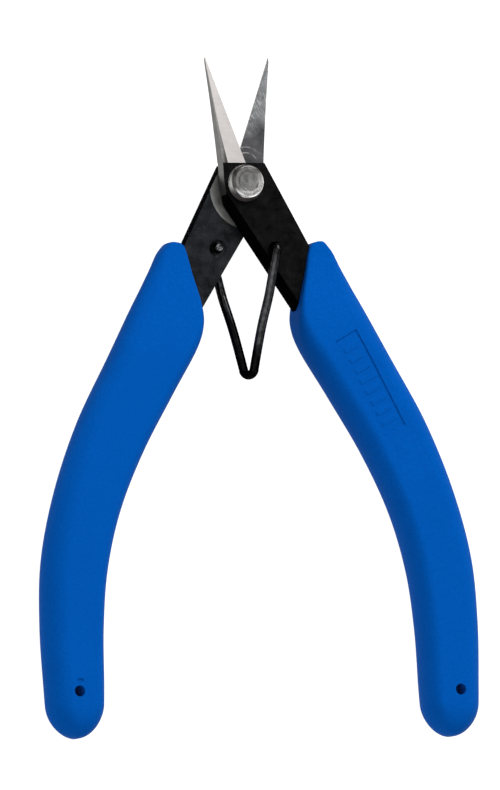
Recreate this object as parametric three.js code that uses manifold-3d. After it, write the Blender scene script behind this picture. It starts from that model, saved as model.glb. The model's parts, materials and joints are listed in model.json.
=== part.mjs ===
// Precision scissor-type hand cutter, lying flat and open.
// Two identical steel stampings are riveted face to face, one of them turned half a turn about
// the tool's length. Each carries a blue moulded grip, and a hairpin wire spring opens them.
// Millimetres. The shapes are drawn about the pivot: +X right, +Y to the blade tips and +Z up
// along the rivet. The whole tool is then moved so that it stands on z = 0, centred in x and y.

import * as THREE from 'three';
import { mergeVertices } from 'three/addons/utils/BufferGeometryUtils.js';
import Module from 'manifold-3d';

const wasm = await Module();
wasm.setup();

// ---- driving dimensions ----

// Stamped plate.
const PLATE_THICKNESS = 3.0;
const FACE_GAP = 0.05;
const PLATE_TOP = FACE_GAP + PLATE_THICKNESS;
const MIDDLE_Z = FACE_GAP + PLATE_THICKNESS / 2;
const TIP_Y = 26.2;
const SHOULDER_Y = 4.0;
const EDGE_HEEL_X = 1.15;
const EDGE_TIP_X = -6.86;
const EDGE_LAND = 0.3;
const FACET_RISE = 0.49;
const TAPER_RISE = 0.118;
const ARM_EDGE_CHAMFER = 0.7;
const CHAMFER_END_Y = -29;
const RELIEF_DEPTH = 0.2;
const RELIEF_CENTRE = new THREE.Vector2(-1.2, -1.2);
const RELIEF_RADIUS = 8.2;
const TANG_HALF_WIDTH = 3.4;
const TANG_END_Y = -101;

// Rivet.
const SHANK_RADIUS = 2.0;
const RUNNING_CLEARANCE = 0.05;
const HEAD_RADIUS = 3.82;
const HEAD_TOP_RADIUS = 3.66;
const HEAD_HEIGHT = 2.0;
const HEAD_SHIFT = [-0.4, -0.15, 0];
const HEAD_DISH_RADIUS = 1.9;
const HEAD_DISH_DEPTH = 0.2;
const BACK_HEAD_RADIUS = 3.4;
const BACK_HEAD_HEIGHT = 1.5;
const HEAD_GAP = 0.1;

// Return spring.
const WIRE_RADIUS = 0.95;
const SPRING_HOLE = new THREE.Vector2(5.45, -13.3);
const SPRING_HOLE_RADIUS = 1.15;
const LEG_HEIGHT = PLATE_TOP + 0.1 + WIRE_RADIUS;
const ELBOW_RISE = 0.8;
const LEG_BEND_RADIUS = 1.2;
const LEG_LEVEL_END = new THREE.Vector2(3.72, -22.4);
const APEX_Y = -39.6;
const APEX_BEND_X = 0.75;
const APEX_BEND_Z = 1.2;
const APEX_HALF_GAP = 0.78;
const LEG_BOW = 0.2;

// Moulded grip.
const GRIP_HALF_THICKNESS = 5.0;
const MOUTH_HALF_THICKNESS = 2.35;
const GRIP_SQUARENESS = 3.2;
const GRIP_FLATNESS = 1.06;
const TANG_GAP = 0.3;
const GRIP_END_ROUND = 6.5;
const HANG_HOLE = new THREE.Vector2(41.6, -105.2);
const HANG_HOLE_RADIUS = 1.15;
const PANEL_DEPTH = 0.6;

// Where the tool stands.
const GRIP_END_Y = -114.5;
const MIDDLE_Y = (TIP_Y + GRIP_END_Y) / 2;
const LOWEST_Z = -(MIDDLE_Z + GRIP_HALF_THICKNESS);

// ---- helpers ----

const vector2 = ([x, y]) => new THREE.Vector2(x, y);

// A closed solid from a three.js geometry.
function solid(geometry) {
  const bare = geometry.clone();
  bare.deleteAttribute('normal');
  bare.deleteAttribute('uv');
  const merged = mergeVertices(bare, 1e-4);
  return new wasm.Manifold(new wasm.Mesh({
    numProp: 3,
    vertProperties: new Float32Array(merged.attributes.position.array),
    triVerts: new Uint32Array(merged.index.array),
  }));
}

// The three.js geometry of a solid.
function shell(body) {
  const mesh = body.getMesh();
  const geometry = new THREE.BufferGeometry();
  geometry.setAttribute('position', new THREE.BufferAttribute(mesh.vertProperties, 3));
  geometry.setIndex(new THREE.BufferAttribute(mesh.triVerts, 1));
  geometry.computeVertexNormals();
  return geometry;
}

// A flat outline pushed up from z = low to z = high.
function slab(outline, low, high) {
  const geometry = new THREE.ExtrudeGeometry(new THREE.Shape(outline), {
    depth: high - low,
    bevelEnabled: false,
  });
  return solid(geometry.translate(0, 0, low));
}

// A round post along z.
function post(centre, radius, low, high, sides = 32) {
  const geometry = new THREE.CylinderGeometry(radius, radius, high - low, sides);
  return solid(geometry.rotateX(Math.PI / 2).translate(centre.x, centre.y, (low + high) / 2));
}

// Everything on the side of a plane that its normal points to.
function beyondPlane(point, normal) {
  const size = 400;
  const turn = new THREE.Quaternion().setFromUnitVectors(
    new THREE.Vector3(0, 0, 1),
    normal.clone().normalize(),
  );
  const geometry = new THREE.BoxGeometry(size, size, size).translate(0, 0, size / 2);
  return solid(geometry.applyQuaternion(turn).translate(point.x, point.y, point.z));
}

// Everything above height y, in the plane of the plate.
const aboveY = (y) => beyondPlane(new THREE.Vector3(0, y, 0), new THREE.Vector3(0, 1, 0));

// ---- stamped plate with its blade, arm and tang ----

const ARM_INNER_TOP = new THREE.Vector2(-4.3, -4.6);
const ARM_INNER_SLOPE = new THREE.Vector2(13.4, -20.2).normalize();
const ARM_OUTER_TOP = new THREE.Vector2(4.1, SHOULDER_Y);
const ARM_OUTER_SLOPE = new THREE.Vector2(8.6, -15.9).normalize();

const TANG_CENTRE = new THREE.SplineCurve([
  [17.7, -30.2], [22.4, -38], [29.3, -50], [35, -62], [38.8, -74], [40.8, -86], [41.3, TANG_END_Y],
].map(vector2));
const TANG_STEPS = 12;
const TANG_START_HALF_WIDTH = 4.2;

// One edge of the tang: side is -1 for the inner edge and +1 for the outer one.
function tangEdge(side, grow) {
  const edge = [];
  for (let step = 0; step <= TANG_STEPS; step += 1) {
    const along = step / TANG_STEPS;
    const centre = TANG_CENTRE.getPoint(along);
    const heading = TANG_CENTRE.getTangent(along);
    const narrowing = Math.min(1, along * 6);
    const half = THREE.MathUtils.lerp(TANG_START_HALF_WIDTH, TANG_HALF_WIDTH, narrowing) + grow;
    edge.push(new THREE.Vector2(centre.x - side * heading.y * half, centre.y + side * heading.x * half));
  }
  return edge;
}

// The arm from a start on its inner edge, round the tang, and back up its outer edge.
function armOutline(innerStart, outerStart, grow) {
  const end = TANG_CENTRE.getPoint(1);
  const tip = new THREE.Vector2(end.x, end.y - 2 - grow);
  const innerShift = new THREE.Vector2(ARM_INNER_SLOPE.y, -ARM_INNER_SLOPE.x).multiplyScalar(grow);
  const outerShift = new THREE.Vector2(-ARM_OUTER_SLOPE.y, ARM_OUTER_SLOPE.x).multiplyScalar(grow);
  return [
    innerStart.clone().add(innerShift),
    ...tangEdge(-1, grow),
    tip,
    ...tangEdge(1, grow).reverse(),
    outerStart.clone().add(outerShift),
  ];
}

function plateOutline() {
  const back = new THREE.SplineCurve([
    [-7.2, 25.3], [-6.25, 16.7], [-5.45, 8], [-5.15, 4], [-5.0, 0], [ARM_INNER_TOP.x, ARM_INNER_TOP.y],
  ].map(vector2));
  return [
    new THREE.Vector2(EDGE_HEEL_X, SHOULDER_Y),
    new THREE.Vector2(EDGE_TIP_X, TIP_Y - 0.55),
    new THREE.Vector2(EDGE_TIP_X - 0.08, TIP_Y - 0.12),
    new THREE.Vector2(EDGE_TIP_X - 0.18, TIP_Y),
    new THREE.Vector2(EDGE_TIP_X - 0.29, TIP_Y - 0.14),
    ...back.getPoints(15).slice(0, -1),
    ...armOutline(ARM_INNER_TOP, ARM_OUTER_TOP, 0),
  ];
}

function plateGeometry() {
  const facetEdge = new THREE.Vector3(EDGE_HEEL_X, SHOULDER_Y, FACE_GAP + EDGE_LAND);
  const edgeSlope = (EDGE_HEEL_X - EDGE_TIP_X) / (TIP_Y - 0.55 - SHOULDER_Y);
  const facet = beyondPlane(facetEdge, new THREE.Vector3(FACET_RISE, FACET_RISE * edgeSlope, 1));
  const taper = beyondPlane(
    new THREE.Vector3(0, SHOULDER_Y, PLATE_TOP),
    new THREE.Vector3(0, TAPER_RISE, 1),
  );
  const chamfer = beyondPlane(
    new THREE.Vector3(ARM_INNER_TOP.x, ARM_INNER_TOP.y, PLATE_TOP - ARM_EDGE_CHAMFER),
    new THREE.Vector3(ARM_INNER_SLOPE.y, -ARM_INNER_SLOPE.x, 1),
  );
  const relief = post(RELIEF_CENTRE, RELIEF_RADIUS, 0, FACE_GAP + RELIEF_DEPTH, 48);
  return shell(
    slab(plateOutline(), FACE_GAP, PLATE_TOP)
      .subtract(facet.add(taper).intersect(aboveY(SHOULDER_Y)))
      .subtract(chamfer.intersect(aboveY(CHAMFER_END_Y)))
      .subtract(relief)
      .subtract(post(new THREE.Vector2(0, 0), SHANK_RADIUS + RUNNING_CLEARANCE, -1, 5, 48))
      .subtract(post(SPRING_HOLE, SPRING_HOLE_RADIUS, -1, 5, 24)),
  );
}

// ---- rivet: a low factory head behind, and in front a formed head that sits a little off centre ----

function turned(profile) {
  return solid(new THREE.LatheGeometry(profile.map(vector2), 48).rotateX(Math.PI / 2));
}

function rivetGeometry() {
  const front = PLATE_TOP + HEAD_GAP;
  const back = -front;
  const top = front + HEAD_HEIGHT;
  const shank = turned([
    [0, back - BACK_HEAD_HEIGHT],
    [2.3, back - BACK_HEAD_HEIGHT],
    [3.1, back - BACK_HEAD_HEIGHT * 0.6],
    [BACK_HEAD_RADIUS, back - 0.3],
    [BACK_HEAD_RADIUS, back],
    [SHANK_RADIUS, back],
    [SHANK_RADIUS, front + 0.5],
    [0, front + 0.5],
  ]);
  const head = turned([
    [0, front],
    [HEAD_RADIUS, front],
    [HEAD_TOP_RADIUS, top - 0.7],
    [HEAD_TOP_RADIUS - 0.25, top - 0.2],
    [HEAD_TOP_RADIUS - 0.7, top],
    [HEAD_DISH_RADIUS + 0.25, top],
    [HEAD_DISH_RADIUS, top - HEAD_DISH_DEPTH],
    [0, top - HEAD_DISH_DEPTH],
  ]);
  return shell(shank.add(head.translate(HEAD_SHIFT)));
}

// ---- return spring: one wire, as two legs that meet at its bend ----

// Centre line of one leg, from its end in the plate's hole to the bend at the bottom.
function springLegPoints() {
  const heading = LEG_LEVEL_END.clone().sub(SPRING_HOLE).normalize();
  const points = [new THREE.Vector3(SPRING_HOLE.x, SPRING_HOLE.y, FACE_GAP + 0.2)];
  const elbowSteps = 4;
  for (let step = 0; step <= elbowSteps; step += 1) {
    const angle = (step / elbowSteps) * (Math.PI / 2);
    const out = LEG_BEND_RADIUS * (1 - Math.cos(angle));
    const height = LEG_HEIGHT + ELBOW_RISE - LEG_BEND_RADIUS * (1 - Math.sin(angle));
    points.push(new THREE.Vector3(
      SPRING_HOLE.x + heading.x * out,
      SPRING_HOLE.y + heading.y * out,
      height,
    ));
  }
  const bendRadius = Math.hypot(APEX_BEND_X, APEX_BEND_Z);
  const bendTop = new THREE.Vector3(APEX_BEND_X, APEX_Y + bendRadius, APEX_BEND_Z);
  const level = new THREE.Vector3(LEG_LEVEL_END.x, LEG_LEVEL_END.y, LEG_HEIGHT);
  points.push(level);
  points.push(level.clone().lerp(bendTop, 0.12));
  points.push(level.clone().lerp(bendTop, 0.5).add(new THREE.Vector3(-LEG_BOW, 0, 0)));
  const apexSteps = 3;
  const lastAngle = Math.PI / 2 - APEX_HALF_GAP / bendRadius;
  for (let step = 0; step <= apexSteps; step += 1) {
    const angle = (step / apexSteps) * lastAngle;
    points.push(new THREE.Vector3(
      APEX_BEND_X * Math.cos(angle),
      bendTop.y - bendRadius * Math.sin(angle),
      APEX_BEND_Z * Math.cos(angle),
    ));
  }
  return points;
}

function springLegGeometry() {
  const section = new THREE.Shape().absarc(0, 0, WIRE_RADIUS, 0, 2 * Math.PI);
  return new THREE.ExtrudeGeometry(section, {
    steps: 44,
    curveSegments: 6,
    extrudePath: new THREE.CatmullRomCurve3(springLegPoints(), false, 'centripetal'),
    bevelEnabled: false,
  });
}

// ---- moulded grip ----

// Inner and outer edges, knot by knot, from the mouth to the lower end.
const GRIP_INNER_EDGE = new THREE.SplineCurve([
  [14.6, -12.2], [12.2, -14.0], [11, -19.5], [9.8, -25.4], [9.95, -30.0], [11.5, -34.8],
  [17.1, -44], [24.2, -56], [29.7, -68], [33, -80], [34.4, -92], [34.8, -104], [35.1, -109.8],
  [35.3, GRIP_END_Y],
].map(vector2));
const GRIP_OUTER_EDGE = new THREE.SplineCurve([
  [16.6, -12.1], [18.6, -14.3], [20.2, -17.3], [21.7, -20], [23.1, -22.5], [25.4, -26.6],
  [30.3, -35.8], [37.6, -49.2], [43.2, -63.4], [46.7, -77.6], [47.6, -91.3], [47.2, -104.2],
  [46.9, -110], [46.6, GRIP_END_Y],
].map(vector2));
const GRIP_STEPS = 38;
const GRIP_SIDES = 20;
const END_SPACING = 0.08;

// Half the grip's thickness, which grows from the mouth and rounds off at the lower end.
function gripHalfThickness(y) {
  const mouth = THREE.MathUtils.smoothstep(-y, 11, 38);
  const body = THREE.MathUtils.lerp(MOUTH_HALF_THICKNESS, GRIP_HALF_THICKNESS, mouth);
  const toEnd = Math.min(1, Math.max(0, (y - GRIP_END_Y) / 6));
  return body * (0.45 + 0.55 * Math.sqrt(toEnd * (2 - toEnd)));
}

// The share of the grip's width left at y, which narrows in an arc at the lower end.
function gripWidthShare(y) {
  const intoEnd = Math.max(0, GRIP_END_ROUND - (y - GRIP_END_Y)) / GRIP_END_ROUND;
  return Math.max(0.2, Math.sqrt(1 - Math.min(1, intoEnd) ** 2));
}

// A unit drum whose rings are laid between the two edges, as rounded sections with flat faces.
function gripBlank() {
  const geometry = new THREE.CylinderGeometry(1, 1, 1, GRIP_SIDES, GRIP_STEPS);
  const position = geometry.attributes.position;
  const rounded = (value) => Math.sign(value) * Math.abs(value) ** (2 / GRIP_SQUARENESS);
  for (let index = 0; index < position.count; index += 1) {
    const share = 0.5 - position.getY(index);
    const along = share - END_SPACING * Math.sin(2 * Math.PI * share);
    const inner = GRIP_INNER_EDGE.getPoint(along);
    const outer = GRIP_OUTER_EDGE.getPoint(along);
    const width = gripWidthShare((inner.y + outer.y) / 2);
    const point = inner.lerp(outer, 0.5 + 0.5 * width * rounded(position.getX(index)));
    const crown = THREE.MathUtils.clamp(rounded(position.getZ(index)) * GRIP_FLATNESS, -1, 1);
    position.setXYZ(index, point.x, point.y, MIDDLE_Z + gripHalfThickness(point.y) * crown);
  }
  return solid(geometry);
}

// The open side of the mouth, where the plate comes out.
const MOUTH_CUT = [[13.6, -9], [13.35, -12.6], [9.7, -27], [4, -27], [4, -9]].map(vector2);
// The sunk panel on the front face.
const PANEL = [[16.8, -33.4], [21.7, -30.9], [32.2, -49.6], [27, -52.2]].map(vector2);

function gripGeometry() {
  const slotLow = FACE_GAP - TANG_GAP;
  const slotHigh = PLATE_TOP + TANG_GAP;
  const slotInnerStart = ARM_INNER_TOP.clone().addScaledVector(ARM_INNER_SLOPE, 4);
  const slot = slab(armOutline(slotInnerStart, ARM_OUTER_TOP, TANG_GAP), slotLow, slotHigh);
  const panelFloor = MIDDLE_Z + GRIP_HALF_THICKNESS - PANEL_DEPTH;
  return shell(
    gripBlank()
      .subtract(slot)
      .subtract(slab(MOUTH_CUT, -10, 10))
      .subtract(slab(PANEL, panelFloor, 10))
      .subtract(post(HANG_HOLE, HANG_HOLE_RADIUS, -10, 10, 20)),
  );
}

// ---- materials ----

const steel = new THREE.MeshStandardMaterial({ color: 0x2b2b2e, roughness: 0.42, metalness: 0.85 });
const rivetSteel = new THREE.MeshStandardMaterial({ color: 0xa9a8a6, roughness: 0.38, metalness: 1 });
const springSteel = new THREE.MeshStandardMaterial({ color: 0x141416, roughness: 0.28, metalness: 0.9 });
const blueRubber = new THREE.MeshStandardMaterial({ color: 0x0359b1, roughness: 0.55, metalness: 0 });

// ---- assembly ----

function part(name, geometry, material) {
  const mesh = new THREE.Mesh(geometry, material);
  mesh.name = name;
  return mesh;
}

const plate = plateGeometry();
const springLeg = springLegGeometry();
const grip = gripGeometry();

// One side of the tool: plate, spring leg and grip.
function side(name) {
  const group = new THREE.Group();
  group.add(part(`${name}_blade_arm`, plate, steel));
  group.add(part(`${name}_spring_leg`, springLeg, springSteel));
  group.add(part(`${name}_grip`, grip, blueRubber));
  return group;
}

const front = side('front');
const rear = side('rear');
rear.rotation.y = Math.PI;

const tool = new THREE.Group();
tool.add(front, rear, part('pivot_rivet', rivetGeometry(), rivetSteel));
tool.position.set(0, -MIDDLE_Y, -LOWEST_Z);

const cutter = new THREE.Group();
cutter.add(tool);

export default cutter;
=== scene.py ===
"""Precision scissor-type hand cutter: fine surfaces, materials, light and camera.

Every shape is drawn in millimetres about the rivet: x right, y towards the blade tips and z up
along the rivet. The rear half is the front half turned half a turn about y.
"""

import json
import math

import bmesh
import bpy
from mathutils import Matrix, Vector


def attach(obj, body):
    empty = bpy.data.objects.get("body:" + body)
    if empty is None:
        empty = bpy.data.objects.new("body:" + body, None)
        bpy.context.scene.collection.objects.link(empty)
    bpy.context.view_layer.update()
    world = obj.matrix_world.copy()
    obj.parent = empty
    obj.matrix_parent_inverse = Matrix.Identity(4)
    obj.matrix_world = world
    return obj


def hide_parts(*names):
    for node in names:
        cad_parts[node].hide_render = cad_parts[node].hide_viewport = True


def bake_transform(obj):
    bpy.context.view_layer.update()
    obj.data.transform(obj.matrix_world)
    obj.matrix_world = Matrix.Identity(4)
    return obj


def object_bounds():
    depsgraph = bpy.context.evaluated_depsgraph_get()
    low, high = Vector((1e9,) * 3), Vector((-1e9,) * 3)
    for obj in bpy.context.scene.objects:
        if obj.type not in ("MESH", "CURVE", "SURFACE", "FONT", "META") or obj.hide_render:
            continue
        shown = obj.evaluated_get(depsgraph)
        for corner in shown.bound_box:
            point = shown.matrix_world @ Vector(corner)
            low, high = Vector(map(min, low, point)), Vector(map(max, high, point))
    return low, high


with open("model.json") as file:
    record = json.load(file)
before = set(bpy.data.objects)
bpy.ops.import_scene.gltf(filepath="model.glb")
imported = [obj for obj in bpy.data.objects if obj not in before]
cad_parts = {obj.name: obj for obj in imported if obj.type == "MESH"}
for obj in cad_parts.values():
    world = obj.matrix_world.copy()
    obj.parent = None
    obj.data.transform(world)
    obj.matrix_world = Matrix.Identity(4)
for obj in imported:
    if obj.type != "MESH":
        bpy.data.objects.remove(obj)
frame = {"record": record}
cad_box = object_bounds()

MM = 0.001
JOINTS = {joint["name"]: joint for joint in frame["record"]["behaviour"]["joints"]}
PIVOT = Vector(JOINTS["close_handles"]["pos_m"])
HALF_TURN = Matrix.Rotation(math.pi, 4, "Y")

# ---- driving dimensions: millimetres, except for rises, shares, normals and headings ----

# plates
PLATE_LOW = 0.05
PLATE_HIGH = 3.05
PLATE_MIDDLE = (PLATE_LOW + PLATE_HIGH) / 2
PLATE_EDGE_WEAR = 0.07
SHOULDER_Y = 4.0
EDGE_HEEL = Vector((1.15, 4.0))
EDGE_TIP = Vector((-6.86, 25.65))
EDGE_LAND = 0.3
FACET_RISE = 0.49
TAPER_RISE = 0.118
RUN_OUT_START = Vector((-5.26, SHOULDER_Y, PLATE_HIGH + 0.018))
RUN_OUT_NORMAL = Vector((0.167, 0.121, 1))
SPINE_END_Y = -2.5
RELIEF_CENTRE = Vector((-1.2, -1.2))
RELIEF_RADIUS = 8.2
RELIEF_DEPTH = 0.2
RELIEF_END_Y = 4.3
ARM_INNER_TOP = Vector((-4.3, -4.6))
ARM_INNER_HEADING = Vector((13.4, -20.2)).normalized()
ARM_OUTER_TOP = Vector((4.1, 4.0))
ARM_EDGE_CHAMFER = 1.1
CHAMFER_END_Y = -29.0
TANG_HALF_WIDTHS = (4.2, 3.4)
TANG_END = (41.3, -103.0)
PIVOT_HOLE_RADIUS = 2.05
SPRING_HOLE = Vector((5.45, -13.3))
SPRING_HOLE_RADIUS = 1.0
DIMPLE_CENTRE = SPRING_HOLE + Vector((0.3, -0.2))
DIMPLE_RADIUS = 1.9
DIMPLE_DEPTH = 0.6
# centre of the painted shadow in the hollow round the spring hole
HOLLOW_SHADOW_CENTRE = SPRING_HOLE + Vector((0.9, -0.2))
SCRATCH_CENTRE = (24, 26, 0)
HEEL_SCRATCH = Vector((1.3, 3.9))
HEEL_SCRATCH_RADIUS = 2.6
OUTER_SCRATCH_STEP = 1.2

# return spring
WIRE_RADIUS = 0.95
WIRE_END_SHIFT = Vector((-0.15, 0.2))
WIRE_LEVEL = PLATE_HIGH + 0.1 + WIRE_RADIUS
ELBOW_RISE = 0.8
ELBOW_RADIUS = 1.2
LEG_LEVEL_END = Vector((3.72, -22.4))
LEG_BOW = 0.2
APEX_Y = -39.6
APEX_BEND = Vector((0.75, 1.2))

# rivet
SHANK_RADIUS = 2.0
HEAD_RADIUS = 3.82
HEAD_TOP_RADIUS = 3.5
HEAD_FLAT_RADIUS = 2.95
HEAD_EDGE_DROP = 0.55
HEAD_LOW = PLATE_HIGH + 0.1
HEAD_TOP = HEAD_LOW + 1.99
HEAD_SHIFT = Vector((-0.43, -0.28))
HEAD_LEAN = Vector((0.0, 0.2))
DISH_RADIUS = 2.1
BACK_HEAD_RADIUS = 3.4
BACK_HEAD_FLAT_RADIUS = 2.6
BACK_HEAD_HEIGHT = 1.5

# moulded grips
GRIP_END_Y = -114.5
GRIP_END_ROUND = 6.5
GRIP_END_THINNING = 6.0
GRIP_END_LEAST = 0.18
GRIP_END_DOME = 0.7
GRIP_HALF_THICKNESS = 5.0
MOUTH_HALF_THICKNESS = 2.35
MOUTH_SHARE = 0.03
INNER_ROUNDS = (0.8, 3.0)
OUTER_ROUNDS = (1.2, 4.2)
HANG_HOLE = Vector((41.6, -105.2))
HANG_HOLE_RADIUS = 1.15
MOULD_DASH = Vector((41.4, -102.95))
MOULD_DASH_HALVES = (0.75, 0.36)
MOULD_DASH_DEPTH = 0.24
PANEL_CORNER = Vector((16.8, -33.4))
PANEL_DOWN = Vector((10.8, -19.5))
PANEL_ACROSS = Vector((5.05, 2.55))
PANEL_DEPTH = 0.3
PANEL_EDGE = 0.22
PANEL_RIBS = 8
RIB_MARGIN = 1.5
RIB_SIDE_MARGIN = 0.9
RIB_EDGE = 0.2


# ---- curves ----


def catmull(points, t):
    """The point at t from 0 to 1 on a smooth curve through points."""
    place = min(max(t, 0.0), 1.0) * (len(points) - 1)
    index = min(int(place), len(points) - 2)
    f = place - index
    before = points[max(index - 1, 0)]
    start = points[index]
    end = points[index + 1]
    after = points[min(index + 2, len(points) - 1)]
    lead = (end - before) * 0.5
    trail = (after - start) * 0.5
    return (
        start
        + lead * f
        + (end * 3 - start * 3 - lead * 2 - trail) * f**2
        + (start * 2 - end * 2 + lead + trail) * f**3
    )


def smooth(low, high, value):
    """0 below low, 1 above high and a smooth rise between."""
    f = min(max((value - low) / (high - low), 0.0), 1.0)
    return f * f * (3 - 2 * f)


def mix(low, high, f):
    """low at f = 0 and high at f = 1."""
    return low + (high - low) * f


# ---- mesh helpers ----


def new_object(name, mesh):
    piece = bpy.data.objects.new(name, mesh)
    bpy.context.scene.collection.objects.link(piece)
    return piece


def mesh_object(name, points, faces):
    """An object from points in millimetres about the rivet."""
    mesh = bpy.data.meshes.new(name)
    mesh.from_pydata([tuple(point) for point in points], [], faces)
    mesh.validate()
    return new_object(name, mesh)


def tapered(name, low_outline, high_outline, low, high):
    """A closed solid from one flat outline at z = low to another at z = high."""
    count = len(low_outline)
    points = [(x, y, low) for x, y in low_outline] + [(x, y, high) for x, y in high_outline]
    faces = [list(range(count))[::-1], list(range(count, 2 * count))]
    for index in range(count):
        after = (index + 1) % count
        faces.append([index, after, count + after, count + index])
    piece = mesh_object(name, points, faces)
    outward(piece)
    return piece


def prism(name, outline, low, high):
    return tapered(name, outline, outline, low, high)


def outward(piece):
    """Turns every face of a closed mesh outwards."""
    work = bmesh.new()
    work.from_mesh(piece.data)
    bmesh.ops.recalc_face_normals(work, faces=work.faces)
    work.to_mesh(piece.data)
    work.free()


def disc(centre, radius, sides=64):
    """A circle's points."""
    turn = 2 * math.pi / sides
    return [
        (centre[0] + radius * math.cos(turn * k), centre[1] + radius * math.sin(turn * k))
        for k in range(sides)
    ]


def square(half):
    """A square's corners."""
    return [(-half, -half), (half, -half), (half, half), (-half, half)]


def skin(name, rings):
    """A closed solid through rings of points, all with the same number of sides."""
    sides = len(rings[0])
    points = [point for ring in rings for point in ring]
    faces = [list(range(sides))[::-1]]
    for low in range(0, len(points) - sides, sides):
        for k in range(sides):
            after = (k + 1) % sides
            faces.append([low + k, low + after, low + sides + after, low + sides + k])
    faces.append(list(range(len(points) - sides, len(points))))
    piece = mesh_object(name, points, faces)
    outward(piece)
    return piece


def beyond_plane(name, point, normal):
    """A block that fills the side of a plane its normal points to."""
    turn = Vector((0, 0, 1)).rotation_difference(Vector(normal).normalized())
    size = 200.0
    corners = [(x, y, z) for z in (0, size) for x, y in square(size / 2)]
    faces = [(3, 2, 1, 0), (4, 5, 6, 7), (0, 1, 5, 4), (1, 2, 6, 5), (2, 3, 7, 6), (3, 0, 4, 7)]
    points = [turn @ Vector(corner) + Vector(point) for corner in corners]
    return mesh_object(name, points, faces)


def apply_modifiers(piece):
    """Replaces the piece's mesh with what its modifiers make of it."""
    graph = bpy.context.evaluated_depsgraph_get()
    mesh = bpy.data.meshes.new_from_object(piece.evaluated_get(graph))
    old = piece.data
    piece.modifiers.clear()
    piece.data = mesh
    bpy.data.meshes.remove(old)


def boolean(piece, cutter, operation):
    """Joins, cuts or crosses the piece with a cutter, which is used up."""
    modifier = piece.modifiers.new(operation, "BOOLEAN")
    modifier.operation = operation
    modifier.solver = "EXACT"
    modifier.object = cutter
    apply_modifiers(piece)
    bpy.data.objects.remove(cutter)


def shade(piece, angle):
    """Smooth shading that keeps edges sharper than the angle, in degrees."""
    limit = math.radians(angle)
    work = bmesh.new()
    work.from_mesh(piece.data)
    for face in work.faces:
        face.smooth = True
    for edge in work.edges:
        edge.smooth = len(edge.link_faces) != 2 or edge.calc_face_angle(0) < limit
    work.to_mesh(piece.data)
    work.free()


def place(piece, turned=False):
    """Moves a mesh drawn in millimetres about the rivet to its place in metres."""
    turn = HALF_TURN if turned else Matrix.Identity(4)
    piece.data.transform(Matrix.Translation(PIVOT) @ Matrix.Scale(MM, 4) @ turn)
    piece.data.update()


# ---- material helpers ----


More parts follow.
